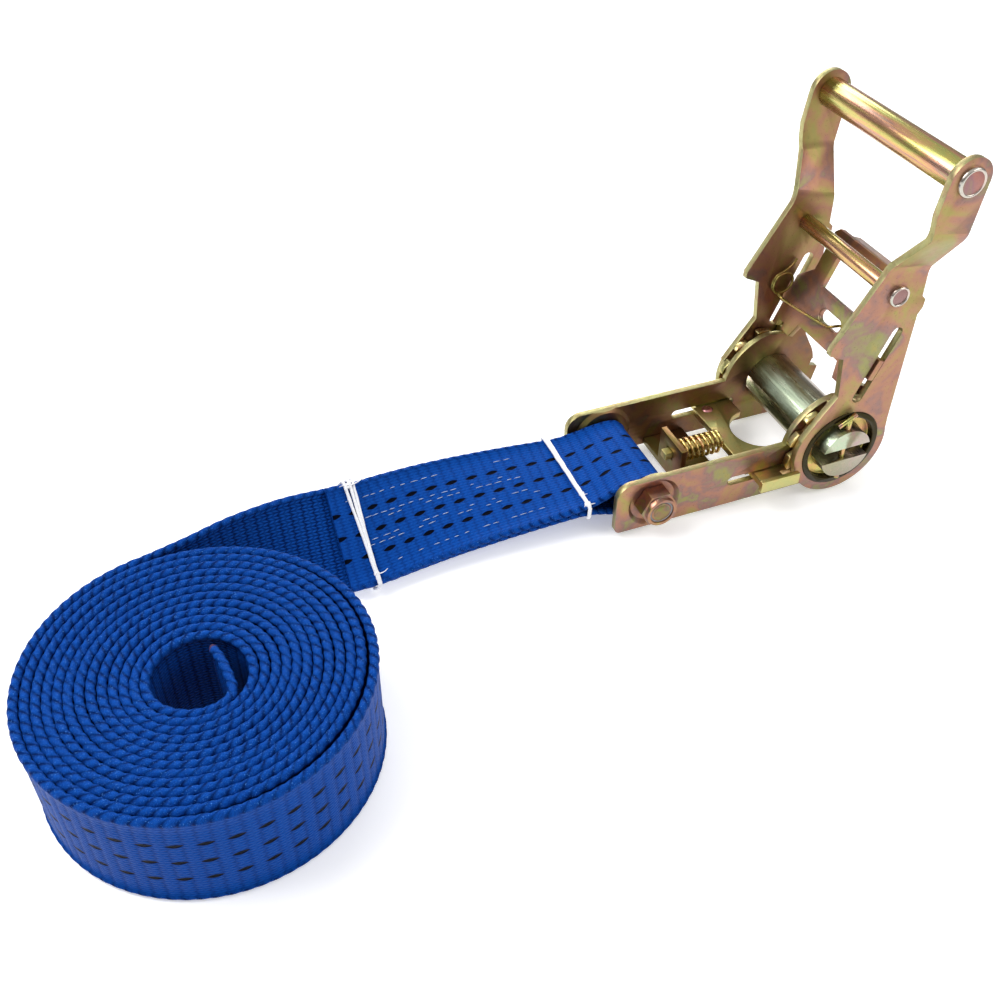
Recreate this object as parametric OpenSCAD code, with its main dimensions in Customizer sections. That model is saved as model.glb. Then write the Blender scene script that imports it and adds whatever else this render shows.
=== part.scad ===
// Ratchet tie down: a 38 mm webbing strap sewn round the end bolt of a ratchet buckle, its free length
// wound into a coil. The buckle lies on its frame with the handle raised.
// Millimetres, +Z up, X along the buckle from the strap bolt to the spool, Y along the spool.
// The origin is on the floor, under the middle of the whole object.

/* [Webbing] */
// Width of the webbing
web_w = 38; // [34:0.5:39]
// Thickness of one layer of webbing
web_t = 2; // [1.5:0.1:2.1]
// Outer radius of the wound coil, over its last turn
coil_r = 53; // [48:1:56]
// Radius of the open hole in the middle of the coil
coil_hole_r = 15; // [10:1:25]

/* [Frame] */
// Clear width between the two frame plates
frame_gap = 42; // [41:0.5:44]
// Thickness of every side plate
plate_t = 2.5; // [2:0.1:2.8]
// Height of the side plates
frame_h = 22; // [20:0.5:24]
// Distance from the strap bolt to the spool's axis
bolt_to_spool = 75; // [72:0.5:80]
// Height of the spool's axis above the floor
spool_z = 21.5; // [21.5:0.1:23]
// Height of the strap bolt's axis above the floor
bolt_z = 13; // [12.5:0.1:13.5]

/* [Spool and wheels] */
// Radius of the pair of half-moon bars
spool_r = 10.4; // [9:0.1:11]
// Width of the slot between the half-moon bars
slot_w = 5.6; // [4:0.1:6]
// Slant of the slot from the frame's length
slot_deg = 1; // [0:1:20]
// Tip radius of the ratchet wheels
wheel_tip_r = 21.5; // [20:0.1:21.5]
// Root radius of the ratchet wheels
wheel_root_r = 17.5; // [17:0.1:18]
// Thickness of a ratchet wheel
wheel_t = 3; // [2.5:0.1:3.2]

/* [Handle] */
// Angle of the handle above the frame's length, measured from the side away from the strap
handle_deg = 81.5; // [60:0.5:100]
// Distance from the spool's axis to the grip
grip_u = 111; // [105:1:118]
// Outer radius of the grip tube
grip_r = 5.4; // [5:0.1:6]
// Half of the handle's clear width at the grip
grip_half_gap = 37; // [34:0.5:40]
// Distance from the spool's axis to the spacer pin
spacer_u = 65.3; // [64:0.1:67]
// Radius of the spacer pin
spacer_r = 3; // [2.5:0.1:3.5]

/* [Pawls] */
// Thickness of the pawl that holds the spool
base_pawl_t = 3; // [2.5:0.1:3.2]
// Thickness of the pawl that the handle carries
handle_pawl_t = 2.5; // [2:0.1:2.8]

/* [Hidden] */
$fn = 64;

// Place of the spool's axis in the row's frame
spool_x = 136;
spool_y = 37;
coil_at = [-246, -63.5];

// Gaps: between stacked plates, and in running fits
side_gap = 0.3;
run_gap = 0.08;

// Stack of plates from the middle outwards, as half widths
frame_in = frame_gap / 2;
frame_out = frame_in + plate_t;
frame_end_in = frame_in - 1.5;
wheel_in = frame_out + side_gap;
wheel_out = wheel_in + wheel_t;
handle_in = wheel_out + side_gap;
handle_out = handle_in + plate_t;
boss_out = handle_out + side_gap;
spool_half = 33.5;

// Frame plate
frame_z = bolt_z - frame_h / 2;
disc_r = 20.8;
bolt_r = 4;
frame_end_x = -90.5;
dish_r = 9;
pawl_slot_x = [-44, -15.5];
pawl_slot_h = 4;

// Ratchet wheels: twelve teeth, so a gap meets the frame's pawl at every 30 degrees
teeth = 12;
tooth_phase = 21;
boss_r = 16.4;
cup_r = 14;

// Handle plate
hub_r = 19.9;
joggle_u = [76, 92];
grip_v = 1;
spacer_v = 1.6;
pawl_slant = 13;
pawl_line_v = 6.6;
wing_slot_s = [21.5, 53.5];
wing_slot_h = 4.6;
grip_bore_r = 3.4;
spacer_bore_r = 2.2;

// Tongue, spring and bridge of the frame's pawl
tongue_w = 4;
spring_r = 4;
spring_wire = 0.55;
bridge_x = -56;
bridge_t = 2.5;

// Colours
zinc = [0.72, 0.66, 0.42];
zinc_pink = [0.70, 0.55, 0.50];
steel = [0.70, 0.68, 0.60];
blue = [0.02, 0.16, 0.62];

module at_buckle() { translate([spool_x, spool_y, 0]) children(); }
module at_spool() { at_buckle() translate([0, 0, spool_z]) children(); }
module at_handle() { at_spool() rotate([0, -handle_deg, 0]) children(); }
module at_handle_pawl() { at_handle() translate([0, 0, pawl_line_v]) rotate([0, pawl_slant, 0]) children(); }

// A cylinder along Y between two values of y
module rod(r, y0, y1) { translate([0, y1, 0]) rotate([90, 0, 0]) cylinder(r = r, h = y1 - y0); }

// A 2D outline in X and Z, as a slab between two values of y
module slab(y0, y1) { translate([0, y1, 0]) rotate([90, 0, 0]) linear_extrude(y1 - y0) children(); }

// A slot with round ends between x0 and x1
module round_slot(x0, x1, h) {
    ends = [x0 + h / 2, x1 - h / 2];
    for (x = ends) translate([x, 0]) circle(d = h);
    translate([ends[0], -h / 2]) square([ends[1] - ends[0], h]);
}

// ---- sweeps ----
function unit(v) = v / norm(v);
function tangent(p, i) = unit(p[min(i + 1, len(p) - 1)] - p[max(i - 1, 0)]);

// Faces of a tube of rings of k points each, with both ends closed. A band's two broad sides are cut along
// the same diagonals, so two bands that twist together stay apart
function ring_faces(rings, k) = concat(
    [[for (j = [k - 1 : -1 : 0]) j]],
    [for (i = [0 : rings - 2], j = [0 : k - 1])
        let (a = i * k + j, b = i * k + (j + 1) % k)
        each j < 2 || k > 4 ? [[a, b, b + k], [a, b + k, a + k]] : [[a, b, a + k], [b, b + k, a + k]]],
    [[for (j = [0 : k - 1]) (rings - 1) * k + j]]);

// A round wire along a list of points; ref is a direction the wire never runs along
module wire(p, r, ref) {
    k = 8;
    points = [for (i = [0 : len(p) - 1])
        let (t = tangent(p, i), a = unit(cross(ref, t)), b = cross(t, a))
        for (j = [0 : k - 1]) p[i] + r * (a * cos(360 * j / k) + b * sin(360 * j / k))];
    polyhedron(points, ring_faces(len(p), k), convexity = 10);
}

// Stations of a band as [point, direction across it], from a list of [point, tilt, offset]: tilt is 0 where
// the band lies flat and 90 where it stands on its edge, and offset moves it along its own upward face
function stations(list) = [for (i = [0 : len(list) - 1])
    let (
        run = tangent([for (s = list) s[0]], i),
        level = unit([-run[1], run[0], 0]),
        across = cos(list[i][1]) * level + sin(list[i][1]) * [0, 0, 1])
    [list[i][0] + unit(cross(run, across)) * list[i][2], across]];

// A flat band through a list of [point, direction across it]
module band(list, w, t) {
    p = [for (s = list) s[0]];
    points = [for (i = [0 : len(p) - 1])
        let (across = list[i][1], face = unit(cross(tangent(p, i), across)))
        for (c = [[-1, -1], [1, -1], [1, 1], [-1, 1]]) p[i] + across * c[0] * w / 2 + face * c[1] * t / 2];
    polyhedron(points, ring_faces(len(p), 4), convexity = 10);
}

// ---- frame ----
// The plate's outline in solid, wide enough in y to be cut to the plate's plan
module frame_blank(y0, y1) {
    difference() {
        union() {
            // square bolt end, its upper corner more rounded than its lower one
            translate([frame_end_x + 6, 0, frame_z + frame_h - 6]) rod(6, y0, y1);
            translate([frame_end_x + 2.5, 0, frame_z + 2.5]) rod(2.5, y0, y1);
            translate([frame_end_x, y0, frame_z + 2.5]) cube([10, y1 - y0, frame_h - 8.5]);
            translate([frame_end_x + 2.5, y0, frame_z]) cube([5, y1 - y0, 5]);
            translate([frame_end_x + 6, y0, frame_z]) cube([2 - frame_end_x, y1 - y0, frame_h]);
            translate([0, 0, spool_z]) rod(disc_r, y0, y1);
            // two locking lobes of the round end
            translate([0, 0, spool_z]) slab(y0, y1) polygon([[3, 12], [3, 21], [8, 23], [12, 21], [17, 12]]);
            translate([0, 0, spool_z]) slab(y0, y1)
                polygon([[13, 3], [22, 3], [23.4, -0.8], [21.5, -9.5], [12, -11]]);
        }
        translate([-90, y0 - 1, frame_z - 20]) cube([120, y1 - y0 + 2, 20]);
        // notches that the handle's pawl drops into
        translate([0, 0, spool_z]) slab(y0 - 1, y1 + 1)
            polygon([[-4, 22.2], [-3, 20.6], [4.2, 19.4], [6.2, 19.6], [7.7, 23], [5, 26], [-4, 26]]);
        translate([0, 0, spool_z]) slab(y0 - 1, y1 + 1)
            polygon([[22.4, 4.6], [20, 3.4], [19.2, 0.6], [23.6, -0.9], [26, 2]]);
        // spool hole, bolt hole and pawl slot
        translate([0, 0, spool_z]) rod(spool_r + run_gap, y0 - 1, y1 + 1);
        translate([-bolt_to_spool, 0, bolt_z]) rod(bolt_r + 0.1, y0 - 1, y1 + 1);
        translate([0, 0, bolt_z]) slab(y0 - 1, y1 + 1)
            round_slot(pawl_slot_x[0], pawl_slot_x[1], pawl_slot_h);
    }
}

// A straight side plate, dished inwards round the strap bolt
module frame_plate(side) {
    deep = frame_in - frame_end_in;
    at_buckle() difference() {
        intersection() {
            frame_blank(min(10 * side, 40 * side), max(10 * side, 40 * side));
            union() {
                translate([-100, side > 0 ? frame_in : -frame_out, 0]) cube([140, plate_t, 60]);
                translate([-bolt_to_spool, side * (frame_in + 0.5), bolt_z]) rotate([side * 90, 0, 0])
                    cylinder(r1 = dish_r + deep + 2, r2 = dish_r + deep, h = deep + 0.5);
            }
        }
        translate([-bolt_to_spool, side * (frame_out + 0.1), bolt_z]) rotate([side * 90, 0, 0])
            cylinder(r1 = dish_r + deep + 0.1, r2 = dish_r, h = deep + 0.1);
    }
}

module frame_plate_near() { color(zinc) frame_plate(-1); }
module frame_plate_far() { color(zinc) frame_plate(1); }

module frame_bridge() {
    tab_w = 17;
    color(zinc_pink) at_buckle() difference() {
        union() {
            translate([bridge_x, -frame_in, frame_z + 0.5]) cube([18, frame_gap, bridge_t]);
            translate([bridge_x, -tab_w / 2, frame_z + 0.5]) cube([bridge_t, tab_w, 17]);
        }
        translate([bridge_x - 1, -tongue_w / 2 - 0.3, bolt_z - base_pawl_t / 2 - 0.4])
            cube([bridge_t + 2, tongue_w + 0.6, base_pawl_t + 0.8]);
    }
}

module strap_bolt() {
    head_h = 5.3;
    color(zinc_pink) at_buckle() translate([-bolt_to_spool, 0, bolt_z]) {
        rod(bolt_r, -29.6, frame_end_in + plate_t);
        translate([0, frame_end_in + plate_t + head_h, 0]) rotate([90, 0, 0])
            cylinder(d = 13 / cos(30), h = head_h, $fn = 6);
    }
}

module lock_nut() {
    color(zinc_pink) at_buckle() translate([-bolt_to_spool, 0, bolt_z]) difference() {
        union() {
            translate([0, -frame_end_in - plate_t, 0]) rotate([90, 0, 0])
                cylinder(d = 13 / cos(30), h = 6, $fn = 6);
            rod(5.9, -frame_end_in - plate_t - 8, -frame_end_in - plate_t - 5);
        }
        rod(bolt_r, -40, 0);
        rod(4.7, -40, -frame_end_in - plate_t - 5.6);
    }
}

module nut_insert() {
    color([0.75, 0.75, 0.74]) at_buckle() translate([-bolt_to_spool, 0, bolt_z]) difference() {
        rod(4.7, -frame_end_in - plate_t - 7.4, -frame_end_in - plate_t - 5.6);
        rod(bolt_r, -40, 0);
    }
}

// ---- spool ----
module half_moon(side) {
    at_spool() rotate([0, -slot_deg, 0]) difference() {
        rod(spool_r, -spool_half, spool_half);
        translate([-20, -40, side > 0 ? -20 : -slot_w / 2]) cube([40, 80, 20 + slot_w / 2]);
        for (s = [-1, 1]) translate([0, s * 31.2, 0]) cylinder(r = 1.15, h = 60, center = true);
    }
}

module half_moon_upper() { color(steel) half_moon(1); }
module half_moon_lower() { color(steel) half_moon(-1); }

module wheel_outline() {
    polygon([for (k = [0 : teeth - 1], c = [[wheel_root_r, 0], [wheel_root_r, 9], [wheel_tip_r - 1.4, 12],
        [wheel_tip_r, 23], [wheel_tip_r, 28]]) let (a = 360 / teeth * k + tooth_phase + c[1]) c[0] * [cos(a), sin(a)]]);
}

module ratchet_wheel(side) {
    at_spool() difference() {
        union() {
            slab(side > 0 ? wheel_in : -wheel_out, side > 0 ? wheel_out : -wheel_in) wheel_outline();
            rod(boss_r, side > 0 ? wheel_in : -boss_out, side > 0 ? boss_out : -wheel_in);
        }
        rod(spool_r, -40, 40);
        // the boss is a cup, open outwards round the bars
        rod(cup_r, side > 0 ? wheel_out : -40, side > 0 ? 40 : -wheel_out);
    }
}

module ratchet_wheel_near() { color(zinc) ratchet_wheel(-1); }
module ratchet_wheel_far() { color(zinc) ratchet_wheel(1); }

// A pin through both half-moon bars, just outside the wheel's boss, with one leg bent over
module retainer(side) {
    leg_deg = 31;
    at_spool() rotate([0, -slot_deg, 0]) translate([0, side * 31.2, 0]) union() {
        translate([0, 0, -13]) cylinder(r = 1.1, h = 27.6);
        translate([-0.8, 0, 14.4]) rotate([0, 90 - leg_deg, 0]) cylinder(r = 0.9, h = 8, center = true);
    }
}

module retainer_near() { color(steel) retainer(-1); }
module retainer_far() { color(steel) retainer(1); }

// ---- handle ----
module handle_outline() {
    difference() {
        union() {
            circle(r = hub_r);
            // lower blade with its hook on the strap's side
            polygon([[2, -19.7], [12, -17.5], [24, -15.7], [40, -13.2], [57, -10.8], [60, -11.9], [63, -11.6],
                [64.5, -9.6], [78, -7], [78, 9.3], [72.5, 10.5], [45, 21.6], [42.5, 21.4], [40.5, 14.8],
                [24, 10.4], [17, 14], [5, 19.8]]);
            // upper blade up to the grip
            polygon([[76, -7.2], [93, -7.5], [110, -7], [110, 9], [99, 8.8], [90, 6.5], [76, 9.6]]);
            translate([grip_u, grip_v]) circle(r = 8);
        }
        circle(r = boss_r + run_gap);
        translate([grip_u, grip_v]) circle(r = grip_bore_r);
        translate([spacer_u, spacer_v]) circle(r = spacer_bore_r);
        translate([0, pawl_line_v]) rotate(-pawl_slant)
            round_slot(wing_slot_s[0], wing_slot_s[1], wing_slot_h);
    }
}

// Plan of one handle plate: straight along the frame, then set outwards to the grip
module handle_plan() {
    polygon([[-30, handle_in], [joggle_u[0], handle_in], [joggle_u[1], grip_half_gap], [130, grip_half_gap],
        [130, grip_half_gap + plate_t], [joggle_u[1] - 0.7, grip_half_gap + plate_t],
        [joggle_u[0] - 0.7, handle_out], [-30, handle_out]]);
}

module handle_plate(side) {
    at_handle() intersection() {
        slab(min(0, side * 50), max(0, side * 50)) handle_outline();
        mirror([0, side < 0 ? 1 : 0, 0]) translate([0, 0, -40]) linear_extrude(80) handle_plan();
    }
}

module handle_plate_near() { color(zinc_pink) handle_plate(-1); }
module handle_plate_far() { color(zinc_pink) handle_plate(1); }

module grip_tube() {
    color(zinc) at_handle() translate([grip_u, 0, grip_v]) difference() {
        rod(grip_r, -grip_half_gap, grip_half_gap);
        rod(grip_bore_r, -50, 50);
    }
}

// A pin with a flanged, staked head at each end
module staked_pin(r, half, head_r) {
    union() {
        rod(r, -half, half);
        for (s = [-1, 1]) rod(head_r, s > 0 ? half : -half - 1.2, s > 0 ? half + 1.2 : -half);
    }
}

module grip_pin() {
    color(steel) at_handle() translate([grip_u, 0, grip_v])
        staked_pin(grip_bore_r, grip_half_gap + plate_t, 4.6);
}

module spacer_pin() {
    color(zinc) at_handle() translate([spacer_u, 0, spacer_v]) {
        staked_pin(spacer_bore_r, handle_out, 3.2);
        rod(spacer_r, -handle_in, handle_in);
    }
}

// The handle's pawl: a flat plate with a window, a finger lip and a wing in each plate's slot
handle_pawl_edge = [[29, 13], [22.9, 15], [22.9, 20.6], [25.6, 20.6], [25.6, 23.6], [22.9, 23.6], [22.9, 26.7],
    [31.6, 26.7], [31.6, 30.4], [40, 30.4], [40, 26.7], [44, 26.7], [50, 20], [66, 20], [68, 18]];

module handle_pawl_plan() {
    last = len(handle_pawl_edge) - 1;
    difference() {
        polygon(concat(handle_pawl_edge,
            [for (i = [last : -1 : 0]) [handle_pawl_edge[i][0], -handle_pawl_edge[i][1]]]));
        translate([46.5, -12.5]) square([16, 25]);
        translate([38.8, 0]) rotate(90) round_slot(-6.5, 6.5, 5);
    }
}

module handle_pawl() {
    lip_h = 4;
    color(zinc_pink) at_handle_pawl() union() {
        translate([0, 0, -handle_pawl_t / 2]) linear_extrude(handle_pawl_t) handle_pawl_plan();
        translate([66, -13, -handle_pawl_t / 2 - lip_h]) cube([2, 26, lip_h + 0.5]);
    }
}

// Wire spring at the far plate: an anchor end, one and a half turns, a long leg into the pawl's oblong hole
spring_turn = [40.5, 26, 4.8];
spring_turn_r = 4.6;
handle_spring_path = concat(
    [[50.4, 26.4, 0.9], [48.8, 26.2, 1.6], [46.4, 26.1, 3.6]],
    [for (k = [0 : 14]) let (a = 20 + k * 36)
        spring_turn + [spring_turn_r * cos(a), -k * 0.1, spring_turn_r * sin(a)]],
    [[35.2, 22.4, 4.9], [35.4, 14, 3.7], [36, 6, 2.4], [36.7, -1, 1.4], [37.6, -3.6, 0.8], [38.1, -4.3, -0.6],
        [38.1, -4.4, -3.6]]);

module handle_pawl_spring() {
    color(zinc) at_handle() wire(handle_spring_path, spring_wire, [0.3, 1, 0.45]);
}

// ---- pawl that holds the spool ----
module base_pawl_plan() {
    mouth_r = 12;
    difference() {
        union() {
            translate([-34.5, -frame_in + 0.3]) square([17, frame_gap - 0.6]);
            for (s = [-1, 1]) mirror([0, s > 0 ? 0 : 1]) {
                translate([-33, 0]) square([15.5, wheel_out - 0.1]);
                translate([-33, 0]) square([10, 31.2]);
            }
            translate([-59, -tongue_w / 2]) square([26, tongue_w]);
        }
        translate([-15.6, 0]) circle(r = mouth_r);
        translate([-22, -8]) square([8, 16]);
    }
}

module base_pawl() {
    ear_h = 5;
    color(zinc) at_buckle() translate([0, 0, bolt_z]) union() {
        translate([0, 0, -base_pawl_t / 2]) linear_extrude(base_pawl_t) base_pawl_plan();
        for (s = [-1, 1]) translate([-34.5, s > 0 ? 30.2 : -32.4, -base_pawl_t / 2])
            cube([16.5, 2.2, ear_h]);
    }
}

module base_pawl_spring() {
    turns = 8;
    length = 17.4;
    steps = 12;
    start_x = bridge_x + bridge_t + 0.75;
    path = [for (k = [0 : turns * steps]) let (a = 360 * k / steps)
        [start_x + length * k / (turns * steps), spring_r * cos(a), bolt_z + spring_r * sin(a)]];
    color(steel) at_buckle() wire(path, spring_wire, [1, 0, 0]);
}

// ---- webbing ----
module strap_coil() {
    color(blue) at_buckle() translate([coil_at[0], coil_at[1], 0]) rotate_extrude($fn = 96)
        translate([coil_hole_r, 0]) square([coil_r - web_t - 0.3 - coil_hole_r, web_w]);
}

// The lead: the coil's last turn, then straight to the bolt, turning from standing to flat
leave_deg = 100;
coil_mid_r = coil_r - web_t / 2;
function on_coil(a) = [coil_at[0] + coil_mid_r * cos(a), coil_at[1] + coil_mid_r * sin(a), web_w / 2];
last_turn = [for (k = [0 : 33]) [on_coil(leave_deg + 330 - 10 * k), 90, 0]];
single_part = [[[-240, -9.3, 19], 86, 0], [[-225, -7.2, 19], 76, 0], [[-208, -6.4, 18.6], 62, -0.4]];
// Stations of the doubled part, as [point, tilt, half the distance between its two layers]
doubled_part = [
    [[-191, -6, 17.6], 48, 1.1],
    [[-179, -4, 15.8], 40, 1.1],
    [[-165, -1, 14.4], 32, 1.1],
    [[-150, 1, 13.6], 25, 1.1],
    [[-135, 1.8, 13.2], 19, 1.1],
    [[-120, 2, 13], 14, 1.1],
    [[-105, 1.6, 13], 9, 1.1],
    [[-97, 1.2, 13], 6, 1.8],
    [[-91, 0.8, 13], 4, 3.6],
    [[-85, 0.3, 13], 1, 5.8],
    [[-80, 0, 13], 0, 6.8]];
eye_r = 7;
function shifted(list, sign) = [for (s = list) [s[0], s[1], sign * s[2]]];

module strap_lead() {
    color(blue) at_buckle()
        band(stations(concat(last_turn, single_part, shifted(doubled_part, -1))), web_w, web_t);
}

// The eye round the bolt, and the folded-back end that lies on the lead
module strap_loop() {
    eye = [for (k = [0 : 12]) let (a = -90 + 15 * k)
        [[-bolt_to_spool + eye_r * cos(a), 0, bolt_z + eye_r * sin(a)], [0, 1, 0]]];
    top = stations(shifted(doubled_part, 1));
    color(blue) at_buckle() band(concat([[[-79.6, 0, bolt_z - 6.85], [0, 1, 0]]], eye,
        [for (i = [len(top) - 1 : -1 : 0]) top[i]]), web_w, web_t);
}

// A loop of white string round both layers of webbing
module tie_string(at, tilt, heading, thick) {
    string_d = 1.1;
    room = 0.5;
    inner = [string_d, web_w + 2 * room, thick + 2 * room];
    color("white") at_buckle() translate(at) rotate([0, 0, heading]) rotate([tilt, 0, 0]) difference() {
        cube(inner + [0, 2 * string_d, 2 * string_d], center = true);
        cube(inner + [1, 0, 0], center = true);
    }
}

module tie_string_coil() { tie_string([-179, -4, 15.8], 40, 8, 5.2); }
module tie_string_buckle() { tie_string([-99, 1.3, 13], 6.8, -2, 6.2); }

frame_plate_near();
frame_plate_far();
frame_bridge();
strap_bolt();
lock_nut();
nut_insert();
half_moon_upper();
half_moon_lower();
ratchet_wheel_near();
ratchet_wheel_far();
retainer_near();
retainer_far();
handle_plate_near();
handle_plate_far();
grip_tube();
grip_pin();
spacer_pin();
handle_pawl();
handle_pawl_spring();
base_pawl();
base_pawl_spring();
strap_coil();
strap_lead();
strap_loop();
tie_string_coil();
tie_string_buckle();
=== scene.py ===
import math
import random

import bmesh
import bpy
import numpy as np
from mathutils import Matrix, Vector


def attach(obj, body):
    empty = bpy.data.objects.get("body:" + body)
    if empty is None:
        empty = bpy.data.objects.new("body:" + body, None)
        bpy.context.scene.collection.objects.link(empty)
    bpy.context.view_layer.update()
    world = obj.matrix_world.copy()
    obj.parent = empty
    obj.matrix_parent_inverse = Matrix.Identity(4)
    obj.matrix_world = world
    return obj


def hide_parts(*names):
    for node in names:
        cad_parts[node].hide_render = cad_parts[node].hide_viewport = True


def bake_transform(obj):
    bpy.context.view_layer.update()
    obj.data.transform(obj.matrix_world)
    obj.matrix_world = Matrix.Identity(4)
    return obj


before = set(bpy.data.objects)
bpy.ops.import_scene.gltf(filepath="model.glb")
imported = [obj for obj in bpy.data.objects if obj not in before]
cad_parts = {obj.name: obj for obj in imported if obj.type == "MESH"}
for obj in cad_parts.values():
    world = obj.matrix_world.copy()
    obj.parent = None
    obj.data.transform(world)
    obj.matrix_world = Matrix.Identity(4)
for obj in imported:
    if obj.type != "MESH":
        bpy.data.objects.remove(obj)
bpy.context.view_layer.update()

MM = 0.001
# The buckle's own frame: x and y from the spool's axis, z from the floor, in millimetres
BUCKLE = np.array([136.0, 37.0, 0.0])
SPOOL_Z = 21.5
BOLT = np.array([-75.0, 0.0, 13.0])
HANDLE_DEG = 81.5

rng = random.Random(7)


# ---------------------------------------------------------------- materials
class Nodes:
    """A small builder for a material's node tree."""

    def __init__(self, name):
        self.mat = bpy.data.materials.new(name)
        self.mat.use_nodes = True
        self.tree = self.mat.node_tree
        self.tree.nodes.clear()
        self.out = self.tree.nodes.new("ShaderNodeOutputMaterial")
        self.bsdf = self.tree.nodes.new("ShaderNodeBsdfPrincipled")
        self.tree.links.new(self.bsdf.outputs[0], self.out.inputs[0])

    def node(self, kind, **values):
        n = self.tree.nodes.new("ShaderNode" + kind)
        for k, v in values.items():
            setattr(n, k, v)
        return n

    def put(self, value, socket):
        """Link an output to the socket, or set the socket to a number or a colour."""
        if hasattr(value, "is_output"):
            self.tree.links.new(value, socket)
            return
        if hasattr(value, "__len__") and len(socket.default_value) == 4 and len(value) == 3:
            value = (*value, 1.0)
        socket.default_value = value

    def set(self, **inputs):
        for k, v in inputs.items():
            self.put(v, self.bsdf.inputs[k.replace("_", " ")])

    def math(self, op, a, b=None, c=None):
        n = self.node("Math", operation=op)
        for i, v in enumerate((a, b, c)):
            if v is not None:
                self.put(v, n.inputs[i])
        return n.outputs[0]

    def mix(self, factor, a, b, mode="MIX"):
        n = self.node("Mix", data_type="RGBA", blend_type=mode)
        self.put(factor, n.inputs[0])
        self.put(a, n.inputs[6])
        self.put(b, n.inputs[7])
        return n.outputs[2]

    def noise(self, scale, vector=None, detail=3.0, rough=0.5, distortion=0.0):
        n = self.node("TexNoise")
        self.put(scale, n.inputs["Scale"])
        self.put(detail, n.inputs["Detail"])
        self.put(rough, n.inputs["Roughness"])
        self.put(distortion, n.inputs["Distortion"])
        if vector is not None:
            self.tree.links.new(vector, n.inputs["Vector"])
        return n.outputs["Fac"]

    def ramp(self, factor, stops):
        n = self.node("ValToRGB")
        e = n.color_ramp.elements
        while len(e) < len(stops):
            e.new(0.5)
        for el, (pos, colour) in zip(e, stops):
            el.position = pos
            el.color = (*colour, 1.0)
        self.tree.links.new(factor, n.inputs[0])
        return n.outputs[0]

    def smooth(self, value, lo, hi):
        n = self.node("MapRange", interpolation_type="SMOOTHSTEP")
        self.put(value, n.inputs[0])
        n.inputs[1].default_value, n.inputs[2].default_value = lo, hi
        return n.outputs[0]

    def bump(self, height, distance, strength, normal=None):
        n = self.node("Bump")
        n.inputs["Strength"].default_value = strength
        n.inputs["Distance"].default_value = distance
        self.tree.links.new(height, n.inputs["Height"])
        if normal is not None:
            self.tree.links.new(normal, n.inputs["Normal"])
        return n.outputs[0]

    def objco(self, offset=(0, 0, 0), scale=(1, 1, 1)):
        tc = self.node("TexCoord")
        m = self.node("Mapping")
        self.tree.links.new(tc.outputs["Object"], m.inputs[0])
        m.inputs["Location"].default_value = offset
        m.inputs["Scale"].default_value = scale
        return m.outputs[0]

    def axes(self, coordinate):
        """The x, y and z of one of the mesh's own texture coordinates."""
        n = self.node("SeparateXYZ")
        self.tree.links.new(self.node("TexCoord").outputs[coordinate], n.inputs[0])
        return n.outputs


# Colours of the chromate film by its thickness, from thin to thick
FILM = [(0.00, (0.34, 0.285, 0.095)), (0.16, (0.28, 0.285, 0.100)), (0.32, (0.34, 0.280, 0.100)),
        (0.46, (0.38, 0.235, 0.120)), (0.60, (0.38, 0.195, 0.135)), (0.72, (0.28, 0.170, 0.150)),
        (0.86, (0.28, 0.270, 0.115)), (1.00, (0.34, 0.285, 0.095))]
# Painted reflection round the bars, bright and near-black bands mixed with the film's hues, by the turn
# about the spool's axis, from 0 to 1
SPOOL_REFLECTION_BANDS = [(0.00, (0.30, 0.27, 0.16)), (0.56, (0.40, 0.32, 0.32)), (0.66, (0.36, 0.28, 0.27)),
               (0.705, (0.13, 0.09, 0.07)), (0.755, (0.15, 0.11, 0.08)), (0.79, (0.44, 0.52, 0.40)),
               (0.90, (0.46, 0.56, 0.42)), (0.95, (0.16, 0.19, 0.11))]
CUT_EDGE = (0.40, 0.39, 0.18)


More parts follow.
